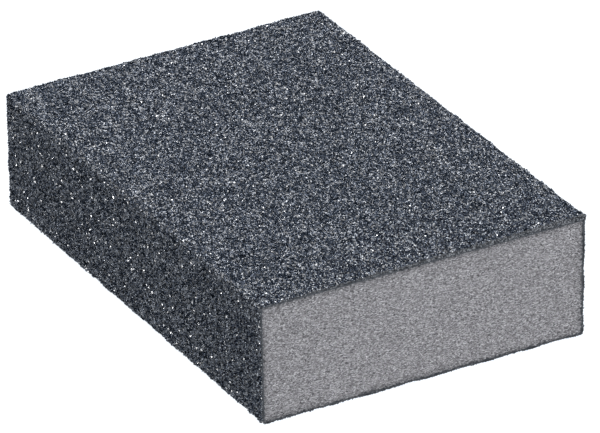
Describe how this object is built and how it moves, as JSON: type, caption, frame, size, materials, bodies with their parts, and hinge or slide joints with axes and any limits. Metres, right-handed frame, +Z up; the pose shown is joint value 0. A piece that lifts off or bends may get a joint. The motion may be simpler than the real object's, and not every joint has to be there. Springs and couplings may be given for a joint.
{
  "type": "sanding block",
  "caption": "Rectangular foam hand-sanding block with abrasive coats on its broad faces and long sides and bare foam at its short ends.",
  "frame": {"origin": "the middle of the underside, in the plane that the block rests on", "axes": "+X along the length, out of one bare foam end; +Y across the width, to the right-hand long side as seen from that end; +Z up, out of a broad coated face"},
  "size_m": [0.1, 0.07, 0.025],
  "materials": {
    "foam": "matte",
    "make_resin": "satin",
    "abrasive_grain": "satin",
    "size_resin": "satin"
  },
  "bodies": {
    "root": {"foam_core": "foam", "top_make_coat": "make_resin", "top_grain_layer": "abrasive_grain", "top_size_coat": "size_resin", "bottom_make_coat": "make_resin", "bottom_grain_layer": "abrasive_grain", "bottom_size_coat": "size_resin", "left_side_make_coat": "make_resin", "left_side_grain_layer": "abrasive_grain", "left_side_size_coat": "size_resin", "right_side_make_coat": "make_resin", "right_side_grain_layer": "abrasive_grain", "right_side_size_coat": "size_resin"}
  },
  "joints": []
}
